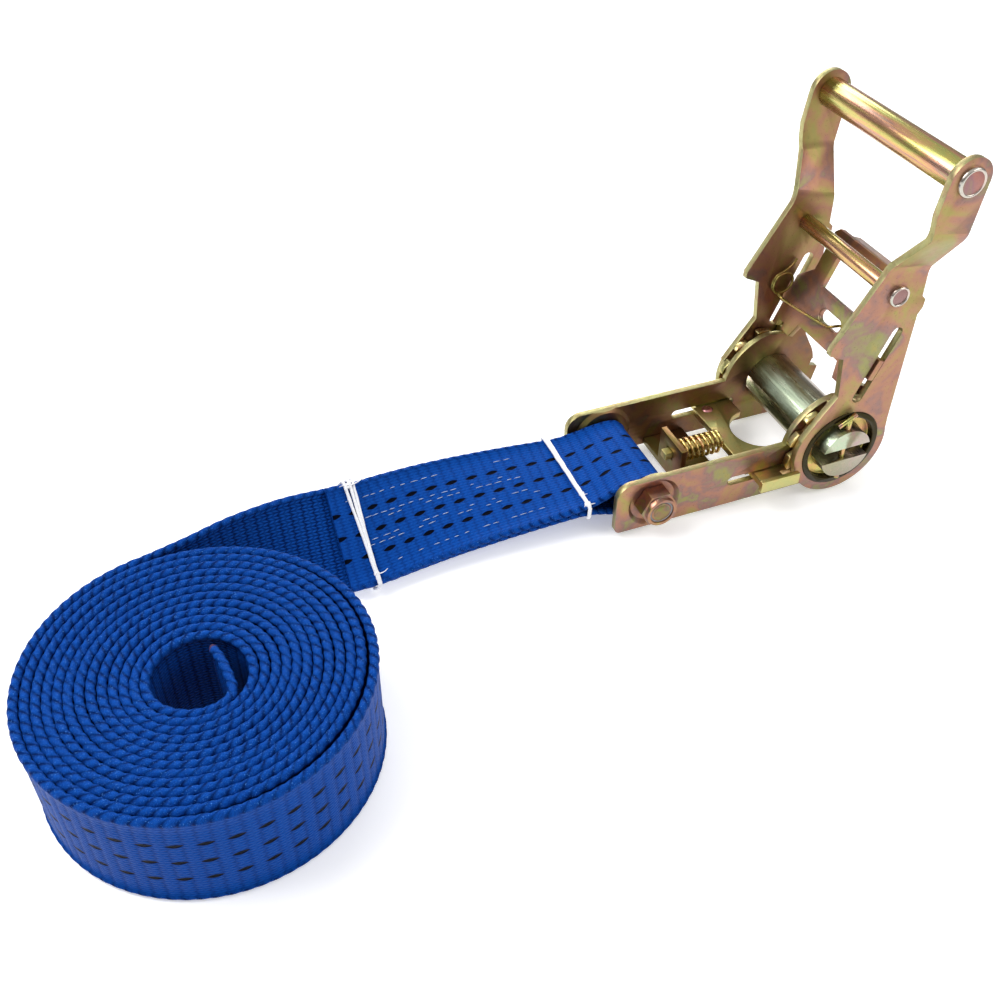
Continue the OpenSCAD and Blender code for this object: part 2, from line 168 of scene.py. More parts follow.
def zinc(name, shift, spread, rough, tint, offset, scale, streak=(1, 1, 1), cut_edge=0.0,
         shade_or_tint_from=None, shade_or_tint_colour=(0.035, 0.028, 0.012), reflection_banded=False):
    """Yellow chromate on zinc plate: the film's colour drifts with its thickness. It can also paint
    shade or a tint past a distance from the middle plane, and reflection bands round the bars.
    """
    m = Nodes(name)
    co = m.objco(offset, streak)
    cloud = m.noise(scale, co, 3.0, 0.55, 0.6)
    fine = m.noise(scale * 5.5, co, 3.0, 0.6)
    t = m.math("MULTIPLY_ADD", cloud, 1.9 * spread, 0.5 - 0.95 * spread + shift)
    t = m.math("MULTIPLY_ADD", fine, 0.26 * spread, t)
    t = m.math("WRAP", t, 1.0, 0.0)
    colour = m.ramp(t, FILM)
    colour = m.mix(1.0, colour, tint, "MULTIPLY")
    if cut_edge:
        # the film is thin and pale on a plate's punched edges
        across = m.math("ABSOLUTE", m.axes("Normal")[1])
        edge = m.math("SUBTRACT", 1.0, m.smooth(across, 0.35, 0.80))
        patch = m.math("MULTIPLY_ADD", m.smooth(fine, 0.35, 0.62), 0.45, 0.55)
        colour = m.mix(m.math("MULTIPLY", m.math("MULTIPLY", edge, patch), cut_edge), colour,
                       CUT_EDGE)
    if shade_or_tint_from:
        # another colour past this distance from the buckle's middle plane: near black by default, as
        # painted shade in a recess, or a tint of the part's own
        off = m.math("ABSOLUTE", m.math("SUBTRACT", m.axes("Object")[1], BUCKLE[1] * MM))
        colour = m.mix(m.smooth(off, shade_or_tint_from * MM, (shade_or_tint_from + 0.3) * MM), colour, shade_or_tint_colour)
    if reflection_banded:
        # painted reflection: the colour changes with the turn round the bars, in ragged bright and
        # near-black bands along them, mixed with the film's hues
        x, _, z = m.axes("Object")
        turn = m.math("ARCTAN2", m.math("SUBTRACT", z, SPOOL_Z * MM),
                      m.math("SUBTRACT", x, BUCKLE[0] * MM))
        turn = m.math("MULTIPLY_ADD", turn, 0.5 / math.pi, 0.5)
        ragged = m.math("SUBTRACT", m.noise(160.0, m.objco(), 4.0, 0.7), 0.5)
        turn = m.math("MULTIPLY_ADD", ragged, 0.10, turn)
        colour = m.mix(0.72, colour, m.ramp(turn, SPOOL_REFLECTION_BANDS))
    dull = m.noise(420.0, co, 4.0, 0.65)
    spots = m.smooth(m.noise(1300.0, co, 2.0, 0.6), 0.62, 0.72)
    colour = m.mix(m.math("MULTIPLY", spots, 0.35), colour, (0.11, 0.08, 0.045))
    m.set(Base_Color=colour, Metallic=1.0,
          Roughness=m.math("ADD", m.math("MULTIPLY", dull, 0.22), rough - 0.11))
    waves = m.noise(180.0, co, 2.0, 0.5)
    pits = m.noise(2600.0, co, 2.0, 0.6)
    b = m.bump(waves, 0.00018, 0.5)
    m.set(Normal=m.bump(pits, 0.000014, 0.6, b))
    return m.mat


# The webbing's pattern, in millimetres
RIB_PITCH = 4.0                 # ribs across the web
TWINE_PITCH = 4.1               # slanting yarns along the selvedge
ROW_PITCH, FLOAT_LONG = 1.13, 2.0
MARK_PITCH = 8.0                # black tracer marks along the web
MARK_ROWS = (-8.0, 0.0, 8.0)
MARK_HALF_LONG, MARK_HALF_WIDE = 2.6, 0.86


def webbing():
    """Woven polyester. The mesh carries web = (length, place across, face) in millimetres."""
    m = Nodes("woven_polyester")
    at = m.node("Attribute", attribute_name="web")
    sep = m.node("SeparateXYZ")
    m.tree.links.new(at.outputs["Vector"], sep.inputs[0])
    s, t, side = sep.outputs
    PI = math.pi
    wob = m.noise(260.0, m.objco(), 2.0)
    s = m.math("MULTIPLY_ADD", m.math("SUBTRACT", wob, 0.5), 0.55, s)
    row = m.math("DIVIDE", t, ROW_PITCH)
    index = m.math("FLOOR", row)
    in_row = m.math("SUBTRACT", m.math("FRACT", row), 0.5)
    odd = m.math("MULTIPLY", m.math("FRACT", m.math("MULTIPLY", index, 0.5)), 2.0)
    # each yarn floats over two picks, half a float out of step with its neighbour
    ph = m.math("MULTIPLY_ADD", odd, 0.5, m.math("DIVIDE", s, 2 * FLOAT_LONG))
    lean = m.math("MULTIPLY", in_row, m.math("MULTIPLY_ADD", odd, 0.70, -0.35))
    ph = m.math("ADD", lean, ph)
    over = m.math("ABSOLUTE", m.math("SINE", m.math("MULTIPLY", ph, 2 * PI)))
    over = m.math("POWER", over, 0.55)
    sunk = m.math("MULTIPLY", m.math("MULTIPLY", in_row, in_row), 3.8)
    round_yarn = m.math("SUBTRACT", 1.0, sunk)
    weave = m.math("MULTIPLY", over, round_yarn)
    # the marked face is smoother: its yarns float longer, and its cross ribs show instead
    marked = m.smooth(side, -0.55, -0.75)
    weave = m.math("MULTIPLY_ADD", m.math("SUBTRACT", 0.80, weave),
                   m.math("MULTIPLY", marked, 0.62), weave)
    # the selvedge is a row of slanting lens-shaped yarns, parted by fine lines, dark with painted shade
    rim = m.math("SUBTRACT", 1.0, m.smooth(m.math("ABSOLUTE", side), 0.52, 0.60))
    twine = m.math("MULTIPLY_ADD", side, 0.70, m.math("DIVIDE", sep.outputs[0], TWINE_PITCH))
    lens_yarn = m.math("ABSOLUTE", m.math("SINE", m.math("MULTIPLY", twine, PI)))
    lens_yarn = m.math("POWER", lens_yarn, 0.62)
    strands = m.noise(1400.0, m.objco((0.7, 0.2, 0.4)), 3.0, 0.7)
    lens_yarn = m.math("MULTIPLY", lens_yarn, m.math("MULTIPLY_ADD", strands, 0.9, 0.42))
    weave = m.math("MULTIPLY_ADD", m.math("SUBTRACT", lens_yarn, weave), rim, weave)
    twist = m.noise(5200.0, m.objco(), 2.0, 0.6)
    # wide ribs across the web, two to each tracer mark
    uneven = m.math("SUBTRACT", m.noise(150.0, m.objco((0.1, 0.4, 0.2))), 0.5)
    rib_at = m.math("MULTIPLY_ADD", uneven, 1.6, s)
    rib = m.math("COSINE", m.math("MULTIPLY", rib_at, 2 * PI / RIB_PITCH))
    rib01 = m.math("MULTIPLY_ADD", rib, 0.5, 0.5)

    # painted shade: the weave's valleys and the gaps between the selvedge's yarns are painted a darker
    # blue than the yarns' lit tops
    shade = m.smooth(weave, 0.15, 0.95)
    patch = m.noise(55.0, m.objco((0.3, 0.1, 0)), 3.0)
    weave_valley_shade = m.mix(patch, (0.0015, 0.0120, 0.080, 1), (0.0012, 0.0100, 0.068, 1))
    lit = m.mix(patch, (0.0060, 0.0660, 0.350, 1), (0.0050, 0.0540, 0.290, 1))
    base = m.mix(shade, weave_valley_shade, lit)
    # painted highlight: the ribs' crests are painted a lighter blue
    base = m.mix(m.math("MULTIPLY", rib01, 0.28), base, (0.006, 0.092, 0.47, 1))
    worn = m.smooth(m.noise(900.0, m.objco(), 3.0, 0.7), 0.60, 0.78)
    base = m.mix(m.math("MULTIPLY", worn, 0.28), base, (0.020, 0.14, 0.55, 1))

    # painted highlight: single fibres of the selvedge get bright glints; painted shade: fine dark lines
    # run along each yarn
    hair = m.math("MULTIPLY", m.math("MULTIPLY_ADD", strands, 0.9, twine), 2 * PI * 5.0)
    hair = m.math("MULTIPLY", m.smooth(m.math("SINE", hair), -0.1, 0.9), rim)
    base = m.mix(m.math("MULTIPLY", hair, 0.45), base, (0.0018, 0.0150, 0.105, 1))
    glint = m.smooth(m.noise(2300.0, m.objco((0.5, 0.5, 0.1)), 2.0, 0.6), 0.60, 0.72)
    base = m.mix(m.math("MULTIPLY", m.math("MULTIPLY", glint, rim), 0.50), base,
                 (0.085, 0.27, 0.72, 1))

    # three rows of black tracer marks on one face only, aligned across the web
    u = m.math("SUBTRACT", m.math("FRACT", m.math("DIVIDE", s, MARK_PITCH)), 0.5)
    u = m.math("MULTIPLY", u, MARK_PITCH)
    mark = None
    for place in MARK_ROWS:
        dt = m.math("SUBTRACT", t, place)
        slant = m.math("MULTIPLY_ADD", u, 0.09, dt)
        # a pointed lens
        narrowing = m.math("MULTIPLY", m.math("MULTIPLY", u, u),
                           MARK_HALF_WIDE / MARK_HALF_LONG ** 2)
        lens = m.math("SUBTRACT", MARK_HALF_WIDE, narrowing)
        one = m.smooth(m.math("SUBTRACT", lens, m.math("ABSOLUTE", slant)), -0.06, 0.14)
        mark = one if mark is None else m.math("MAXIMUM", mark, one)
    on_face = m.math("LESS_THAN", side, -0.6)
    mark = m.math("MULTIPLY", mark, on_face)
    base = m.mix(mark, base, (0.0022, 0.0022, 0.0040, 1))

    # the free end was cut hot, which melts and browns it
    burnt = m.math("SUBTRACT", 1.0, m.smooth(sep.outputs[0], 0.2, 1.5))
    base = m.mix(m.math("MULTIPLY", burnt, 0.8), base, (0.10, 0.035, 0.012, 1))

    height = m.math("ADD", weave, m.math("MULTIPLY", twist, 0.25))
    height = m.math("MULTIPLY_ADD", rib01, 0.55, height)
    height = m.math("SUBTRACT", height, m.math("MULTIPLY", mark, 0.35))
    m.set(Base_Color=base, Roughness=m.math("MULTIPLY_ADD", shade, -0.16, 0.62),
          Normal=m.bump(height, 0.00036, 0.85))
    m.set(Specular_IOR_Level=0.06, Specular_Tint=(0.05, 0.25, 0.90, 1.0), Sheen_Weight=0.0)
    return m.mat


def cotton():
    m = Nodes("cotton_string")
    co = m.objco()
    n = m.noise(2200.0, co, 3.0, 0.7)
    col = m.ramp(n, [(0.2, (0.74, 0.75, 0.78)), (0.7, (0.93, 0.93, 0.94))])
    m.set(Base_Color=col, Roughness=m.math("MULTIPLY_ADD", n, 0.1, 0.8),
          Normal=m.bump(m.noise(5200.0, co, 2.0), 0.00006, 0.8))
    m.set(Specular_IOR_Level=0.2, Sheen_Weight=0.3)
    return m.mat


def sewing_thread():
    m = Nodes("sewing_thread")
    co = m.objco()
    n = m.noise(3000.0, co, 2.0)
    col = m.ramp(n, [(0.3, (0.26, 0.34, 0.52)), (0.7, (0.50, 0.56, 0.68))])
    m.set(Base_Color=col, Roughness=m.math("MULTIPLY_ADD", n, 0.1, 0.5),
          Normal=m.bump(m.noise(6000.0, co, 2.0), 0.00004, 0.6))
    return m.mat


def nylon():
    m = Nodes("nylon_ring_shaded")
    co = m.objco()
    n = m.noise(700.0, co, 3.0, 0.6)
    # the insert's own grey, darkened as painted shade inside the nut
    col = m.ramp(n, [(0.3, (0.24, 0.25, 0.26)), (0.7, (0.36, 0.37, 0.38))])
    m.set(Base_Color=col, Roughness=m.math("MULTIPLY_ADD", n, 0.15, 0.35),
          Normal=m.bump(m.noise(2500.0, co, 2.0), 0.00003, 0.5))
    return m.mat


WEB = webbing()
STRING = cotton()
THREAD = sewing_thread()
NYLON_SHADED = nylon()
FRAME_NEAR = zinc("zinc_frame_near", 0.02, 0.95, 0.42, (0.98, 0.96, 0.96), (0.02, 0.1, 0.03),
                  scale=70, cut_edge=0.8)
# painted shade: a darker copy of the frame's film for the far plate, whose inner face lies in the
# frame's shade
FRAME_FAR_SHADED = zinc("zinc_frame_far_shaded", -0.10, 0.85, 0.42, (0.62, 0.62, 0.52), (0.4, 0.1, 0.23),
                 scale=60, cut_edge=0.8)
BRIDGE = zinc("zinc_bridge", -0.2, 0.6, 0.40, (0.62, 0.55, 0.45), (0.7, 0.3, 0.03), scale=70)
PAWL = zinc("zinc_base_pawl", -0.34, 0.65, 0.36, (1.60, 1.55, 1.75), (0.9, 0.3, 0.4), scale=70)
HANDLE = zinc("zinc_handle", 0.02, 0.85, 0.44, (1.02, 1.02, 1.02), (0.2, 0.6, 0.5), scale=62,
              cut_edge=0.9)
# painted shade: a slightly darker copy of the handle's film for the far handle plate
HANDLE_FAR_SHADED = zinc("zinc_handle_far_shaded", -0.08, 0.75, 0.44, (0.88, 0.86, 0.84), (0.2, 0.6, 0.5),
                  scale=60, cut_edge=0.9)
HANDLE_PAWL = zinc("zinc_handle_pawl", -0.05, 0.9, 0.40, (1.0, 0.98, 0.92), (0.5, 0.2, 0.1),
                   scale=60)
# painted reflection: ragged bright and near-black bands round the half moons
SPOOL = zinc("zinc_spool", -0.30, 0.55, 0.30, (1.50, 1.72, 3.0), (0.1, 0.9, 0.2), scale=60,
             streak=(6, 0.35, 6), reflection_banded=True)
# painted shade: the wheel past 26.9 mm from the middle plane, inside the handle's hub ring, is near
# black
WHEEL = zinc("zinc_wheel", -0.25, 0.8, 0.30, (1.7, 1.55, 1.35), (0.3, 0.2, 0.8), scale=90,
             cut_edge=0.9, shade_or_tint_from=26.9)
BAR = zinc("zinc_grip", -0.24, 1.25, 0.26, (1.50, 1.50, 1.35), (0.6, 0.6, 0.1), scale=90,
           streak=(3, 0.22, 3))
BOLTS = zinc("zinc_bolt", 0.02, 0.8, 0.32, (0.95, 0.92, 0.86), (0.1, 0.4, 0.9), scale=120)
SPACER = zinc("zinc_spacer", -0.24, 1.25, 0.26, (1.50, 1.50, 1.35), (0.6, 0.6, 0.1), scale=90,
              streak=(3, 0.22, 3), shade_or_tint_from=29.5, shade_or_tint_colour=(0.26, 0.15, 0.14))
PIN = zinc("zinc_pin_end", 0.12, 0.3, 0.34, (0.95, 0.85, 1.0), (0.1, 0.4, 0.9), scale=120)
# painted shade: a darker greenish film for the bolt's end, which lies in shade inside the nut
THREAD_METAL_SHADED = zinc("zinc_thread_shaded", -0.1, 0.8, 0.30, (0.60, 0.72, 0.60), (0.1, 0.4, 0.9), scale=260)
DIMPLE = zinc("zinc_dimple", 0.12, 0.4, 0.30, (1.7, 1.25, 1.6), (0.1, 0.4, 0.9), scale=120)
RING = zinc("zinc_staked_ring", -0.3, 0.3, 0.20, (1.7, 1.7, 4.2), (0.3, 0.4, 0.4), scale=120)
WIRE = zinc("zinc_spring", -0.25, 0.5, 0.26, (2.1, 1.8, 1.8), (0.8, 0.8, 0.1), scale=140)
DARK_WIRE = zinc("zinc_small_spring", -0.25, 0.5, 0.30, (0.95, 0.85, 0.70), (0.8, 0.8, 0.1),
                 scale=140)


# ---------------------------------------------------------------- pieces
def to_row(points):
    return (np.asarray(points, float).reshape(-1, 3) + BUCKLE) * MM


def from_handle(points):
    """Points (u, y, v) of the handle, in millimetres, to the buckle's frame."""
    p = np.asarray(points, float).reshape(-1, 3)
    c, s = math.cos(math.radians(HANDLE_DEG)), math.sin(math.radians(HANDLE_DEG))
    return np.stack([p[:, 0] * c - p[:, 2] * s, p[:, 1], SPOOL_Z + p[:, 0] * s + p[:, 2] * c], 1)


def add_piece(name, verts, faces, material, body, replaced=(), attr=None, smooth=True):
    me = bpy.data.meshes.new(name)
    me.from_pydata([tuple(v) for v in verts], [], faces)
    me.update()
    if attr is not None:
        a = me.attributes.new("web", "FLOAT_VECTOR", "POINT")
        a.data.foreach_set("vector", np.asarray(attr, np.float32).ravel())
    ob = bpy.data.objects.new(name, me)
    bpy.context.scene.collection.objects.link(ob)
    me.materials.append(material)
    if smooth:
        me.shade_smooth()
    if replaced:
        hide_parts(*replaced)
    if body:
        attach(ob, body)
    return ob


def tube(path, radius, sides, closed=False, ref=(0.31, 0.17, 0.93)):
    """Vertices and faces of a round tube; radius is one number or one per point."""
    p = np.asarray(path, float)
    n = len(p)
    rad = np.full(n, radius, float) if np.isscalar(radius) else np.asarray(radius, float)
    if closed:
        tan = np.roll(p, -1, 0) - np.roll(p, 1, 0)
    else:
        tan = np.gradient(p, axis=0)
    tan /= np.linalg.norm(tan, axis=1)[:, None]
    a = np.array(ref, float)
    a = a - tan[0] * (a @ tan[0])
    a /= np.linalg.norm(a)
    verts, faces = [], []
    for i in range(n):
        a = a - tan[i] * (a @ tan[i])
        a /= np.linalg.norm(a)
        b = np.cross(tan[i], a)
        for j in range(sides):
            w = 2 * math.pi * j / sides
            verts.append(p[i] + rad[i] * (a * math.cos(w) + b * math.sin(w)))
    for i in range(n if closed else n - 1):
        k = (i + 1) % n
        for j in range(sides):
            q = (j + 1) % sides
            faces.append((i * sides + j, i * sides + q, k * sides + q, k * sides + j))
    if not closed:
        faces.append(tuple(range(sides - 1, -1, -1)))
        faces.append(tuple((n - 1) * sides + j for j in range(sides)))
    return verts, faces


def merge(parts):
    verts, faces = [], []
    for v, f in parts:
        k = len(verts)
        verts += list(v)
        faces += [tuple(i + k for i in q) for q in f]
    return verts, faces


def spline(points, step):
    """A Catmull-Rom curve through the points, sampled about every step; extra columns ride along."""
    p = np.asarray(points, float)
    out = []
    for i in range(len(p) - 1):
        p0, p1, p2, p3 = p[max(i - 1, 0)], p[i], p[i + 1], p[min(i + 2, len(p) - 1)]
        n = max(2, int(np.linalg.norm((p2 - p1)[:3]) / step))
        for t in np.linspace(0, 1, n, endpoint=False):
            out.append(0.5 * (2 * p1 + (p2 - p0) * t + (2 * p0 - 5 * p1 + 4 * p2 - p3) * t ** 2
                              + (3 * p1 - p0 - 3 * p2 + p3) * t ** 3))
    out.append(p[-1])
    return np.array(out)


BEND_ROUND = 2.2        # radius of a plate's bends, in millimetres
SHARP_DEG = 32.0        # edges sharper than this get a small round


def is_bend(edge):
    """Whether a long edge parts two faces of one side plate that meet at a slight angle."""
    if len(edge.link_faces) != 2 or edge.calc_length() <= 0.010:
        return False
    n0, n1 = (f.normal for f in edge.link_faces)
    return 0.35 < n0.angle(n1) < 0.9 and abs(n0.y) > 0.7 and abs(n1.y) > 0.7


def refined(node, body, material, width):
    """A copy of a CAD node with rounded bends, and a small round on its sharp edges."""
    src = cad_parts[node]
    me = bpy.data.meshes.new(node + "_finished")
    bm = bmesh.new()
    bm.from_mesh(src.data)
    bmesh.ops.remove_doubles(bm, verts=bm.verts, dist=2e-6)
    bmesh.ops.dissolve_limit(bm, angle_limit=math.radians(1.0), verts=bm.verts, edges=bm.edges,
                             delimit={"NORMAL"})
    bmesh.ops.recalc_face_normals(bm, faces=bm.faces)
    bends = [e for e in bm.edges if is_bend(e)]
    if bends:
        bmesh.ops.bevel(bm, geom=bends, offset=BEND_ROUND * MM, segments=5, profile=0.5,
                        affect="EDGES", offset_type="OFFSET")
    bm.to_mesh(me)
    bm.free()
    ob = bpy.data.objects.new(node + "_finished", me)
    bpy.context.scene.collection.objects.link(ob)
    mod = ob.modifiers.new("edge", "BEVEL")
    mod.width = width * MM
    mod.segments = 2
    mod.limit_method = "ANGLE"
    mod.angle_limit = math.radians(SHARP_DEG)
    mod.harden_normals = True
    mod.use_clamp_overlap = True
    me.shade_smooth()
    dg = bpy.context.evaluated_depsgraph_get()
    new = bpy.data.meshes.new_from_object(ob.evaluated_get(dg), preserve_all_data_layers=True,
                                          depsgraph=dg)
    ob.modifiers.clear()
    ob.data = new
    bpy.data.meshes.remove(me)
    new.name = node + "_finished"
    new.materials.clear()
    new.materials.append(material)
    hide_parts(node)
    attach(ob, body)


# node, body, material, slot, and the round on its edges in millimetres
METAL = [
    ("frame_plate_near", "frame", FRAME_NEAR, "frame_steel", 0.35),
    ("frame_plate_far", "frame", FRAME_FAR_SHADED, "frame_steel", 0.35),
    ("frame_bridge", "frame", BRIDGE, "frame_steel", 0.3),
    ("strap_bolt", "frame", BOLTS, "pin_steel", 0.4),
    ("lock_nut", "frame", BOLTS, "pin_steel", 0.45),
    ("nut_insert", "frame", NYLON_SHADED, "nylon", 0.25),
    ("half_moon_upper", "spool", SPOOL, "spool_steel", 0.25),
    ("half_moon_lower", "spool", SPOOL, "spool_steel", 0.25),
    ("ratchet_wheel_near", "spool", WHEEL, "wheel_steel", 0.35),
    ("ratchet_wheel_far", "spool", WHEEL, "wheel_steel", 0.35),
    ("retainer_near", "spool", BAR, "pin_steel", 0.3),
    ("retainer_far", "spool", BAR, "pin_steel", 0.3),
    ("handle_plate_near", "handle", HANDLE, "handle_steel", 0.35),
    ("handle_plate_far", "handle", HANDLE_FAR_SHADED, "handle_steel", 0.35),
    ("grip_tube", "handle", BAR, "pin_steel", 0.3),
    ("grip_pin", "handle", PIN, "pin_steel", 0.3),
    ("spacer_pin", "handle", SPACER, "pin_steel", 0.25),
    ("handle_pawl", "handle_pawl", HANDLE_PAWL, "handle_steel", 0.3),
    ("base_pawl", "base_pawl", PAWL, "frame_steel", 0.35),
]
for node, body, material, slot, width in METAL:
    refined(node, body, material, width)


# ---------------------------------------------------------------- staked pin ends
def lathe(profile, centre, side, base, sides=40):
    """A turned shape about an axis along Y; profile is (radius, height outwards from base)."""
    verts, faces = [], []
    for r, h in profile:
        for j in range(sides):
            w = 2 * math.pi * j / sides
            verts.append((centre[0] + r * math.cos(w), side * (base + h),
                          centre[1] + r * math.sin(w)))
    for i in range(len(profile) - 1):
        for j in range(sides):
            q = (j + 1) % sides
            face = (i * sides + j, i * sides + q, (i + 1) * sides + q, (i + 1) * sides + j)
            faces.append(face if side < 0 else face[::-1])
    cap = tuple((len(profile) - 1) * sides + j for j in range(sides))
    faces.append(cap if side < 0 else cap[::-1])
    return verts, faces


def staked_end(name, centre, base, r, rise):
    """A bright rolled ring round a pin's end, on both sides of the handle."""
    ring = [(r * 0.70, 0.05), (r * 0.74, rise * 0.75), (r * 0.82, rise), (r * 0.92, rise * 0.92),
            (r * 0.99, rise * 0.55), (r, 0.0)]
    parts = []
    for side in (-1, 1):
        v, f = lathe(ring[::-1], centre, side, base)
        parts.append((v, f[:-1]))
    v, f = merge(parts)
    add_piece(name, to_row(from_handle(v)), f, RING, "handle")


def bolt_thread():
    """The bolt's chamfered end and last threads, inside the nylon ring."""
    crest, root, pitch = 3.9, 3.35, 0.55
    profile = []
    for k in range(5):
        profile += [(crest, -2.6 + pitch * k), (root, -2.33 + pitch * k)]
    profile += [(3.3, 0.15), (2.6, 0.42)]
    v, f = lathe(profile, (BOLT[0], BOLT[2]), -1, 29.6)
    add_piece("strap_bolt_thread", to_row(v), f, THREAD_METAL_SHADED, "frame", smooth=False)


def pawl_dimple():
    """The staked dimple on top of the frame's pawl."""
    x, y, pawl_top = -29.4, 18.0, 14.5
    sides = 28
    verts, faces = [], []
    rings = [(2.3, 0.02), (2.0, 0.22), (1.6, 0.42), (1.1, 0.50), (0.55, 0.36)]
    for r, h in rings:
        for j in range(sides):
            w = 2 * math.pi * j / sides
            verts.append((x + r * math.cos(w), y + r * math.sin(w), pawl_top + h))
    for i in range(len(rings) - 1):
        a, b = i * sides, (i + 1) * sides
        for j in range(sides):
            q = (j + 1) % sides
            faces.append((a + j, a + q, b + q, b + j))
    faces.append(tuple((len(rings) - 1) * sides + j for j in range(sides)))
    add_piece("base_pawl_dimple", to_row(verts), faces, DIMPLE, "base_pawl")


bolt_thread()
pawl_dimple()
staked_end("grip_pin_rings", (111.0, 1.0), 39.5, 5.2, 1.45)
staked_end("spacer_pin_rings", (65.3, 1.6), 29.6, 4.0, 1.55)

# ---------------------------------------------------------------- webbing
WEB_W = 38.0
COIL = np.array([-246.0, -63.5])    # the coil's middle
COIL_R, TURN_PITCH = 51.9, 3.06     # the outer turn's radius, and the gap from turn to turn
WOUND_DEG, LEAVE_DEG = 4520, 100.0  # how far it is wound, and where the lead leaves it
STEP = 0.5
EYE_R = 7.0                         # the eye's radius round the bolt
HALF_THICK = 0.90
COLUMNS = 9                         # points across each face and round each selvedge
RING_POINTS = 4 * COLUMNS


def coil_path():
    """Centreline from the free end, through the wound part, to where the lead leaves the outer turn."""
    # the free end stands off as a nearly straight flap inside the hole
    flap = [(5.0, 6.6, 0), (6.4, 2.0, 0), (7.2, -3.0, 0), (7.6, -8.0, 0), (7.5, -11.5, 0)]
    out = []
    for phi in range(WOUND_DEG, -1, -1):
        a = math.radians(LEAVE_DEG + phi)
        r = COIL_R - TURN_PITCH * phi / 360.0
        # the outer turn stands off a little at the front right
        r += 1.0 * math.exp(-((phi - 215) / 60.0) ** 2)
        # hand winding is never quite round
        r += 0.22 * math.sin(2 * a + 0.6) * (r / 52) + 0.16 * math.sin(3 * a + 0.9 * phi / 360)
        q = phi / WOUND_DEG
        out.append([-1.0 * q + r * math.cos(a), -2.7 * q + r * math.sin(a)])
    join = spline(flap + [(*out[0], 0), (*out[12], 0)], 0.4)
    k = int(np.argmin(np.linalg.norm(join[:, :2] - np.array(out[0]), axis=1)))
    return np.vstack([join[:k, :2], out]) + COIL


# Stations of the lead, as (x, y, z, tilt in degrees, offset from the layers' middle)
SINGLE = [(-240, -9.3, 19, 86, 0.0), (-225, -7.2, 19, 76, 0.0), (-208, -6.4, 18.6, 62, -0.5)]
DOUBLE = [(-191, -6, 17.6, 48, 1.3), (-179, -4, 15.8, 40, 1.3), (-165, -1, 14.4, 32, 1.3),
          (-150, 1, 13.6, 25, 1.3), (-135, 1.8, 13.2, 19, 1.3), (-120, 2, 13, 14, 1.3),
          (-105, 1.6, 13, 9, 1.35), (-97, 1.2, 13, 6, 1.9), (-91, 0.8, 13, 4, 3.6),
          (-85, 0.3, 13, 1, 5.8), (-80, 0, 13, 0, 6.8)]


def layer(stations):
    """Points along a stretch of stations, and their directions across and out of the face."""
    d = spline(stations, STEP)
    run = np.gradient(d[:, :3], axis=0)
    run /= np.linalg.norm(run, axis=1)[:, None]
    level = np.stack([-run[:, 1], run[:, 0], np.zeros(len(run))], 1)
    level /= np.linalg.norm(level, axis=1)[:, None]
    tilt = np.radians(d[:, 3])[:, None]
    across = np.cos(tilt) * level + np.sin(tilt) * np.array([0, 0, 1.0])
    face = np.cross(run, across)
    face /= np.linalg.norm(face, axis=1)[:, None]
    return d[:, :3] + face * d[:, 4][:, None], across, face


coil = coil_path()
wound = np.column_stack([coil, np.full(len(coil), WEB_W / 2 + 0.3)])
up = np.tile([0, 0, 1.0], (len(wound), 1))

lead_stations = [(*p, 90.0, 0.0) for p in wound[-24::6]] + SINGLE
lead_stations += [(*q[:4], -q[4]) for q in DOUBLE]
lead_p, lead_a, _ = layer(lead_stations)
skip = int(np.argmin(np.linalg.norm(lead_p - wound[-1], axis=1)))
ang = np.radians(np.arange(-84, 86, 3))
eye = np.stack([BOLT[0] + EYE_R * np.cos(ang), np.zeros(len(ang)),
                BOLT[2] + EYE_R * np.sin(ang)], 1)
eye_a = np.tile([0, 1.0, 0], (len(eye), 1))
top_p, top_a, top_n = layer(DOUBLE)
P = np.vstack([wound, lead_p[skip + 1:], eye, top_p[::-1]])
A = np.vstack([up, lead_a[skip + 1:], eye_a, top_a[::-1]])

# even steps along the whole strap
length = np.concatenate([[0], np.cumsum(np.linalg.norm(np.diff(P, axis=0), axis=1))])
LONG = float(length[-1])
S = np.arange(0, LONG, STEP)
P = np.stack([np.interp(S, length, P[:, k]) for k in range(3)], 1)
A = np.stack([np.interp(S, length, A[:, k]) for k in range(3)], 1)
kernel = np.hanning(9)
kernel /= kernel.sum()
for k in range(3):
    P[4:-4, k] = np.convolve(P[:, k], kernel, "valid")
T = np.gradient(P, axis=0)
T /= np.linalg.norm(T, axis=1)[:, None]
A -= T * (A * T).sum(1)[:, None]
A /= np.linalg.norm(A, axis=1)[:, None]
N = np.cross(T, A)

# Each rib's height
RIBS = [rng.uniform(0.35, 1.25) for _ in range(1100)]


def selvedge_point(middle, f, r):
    """A point on a selvedge at angle f round it, whose yarn stands r out."""
    return (middle + (0.45 + 0.62 * r) * 1.12 * math.cos(f), r * math.sin(f), math.sin(f) * 0.5)


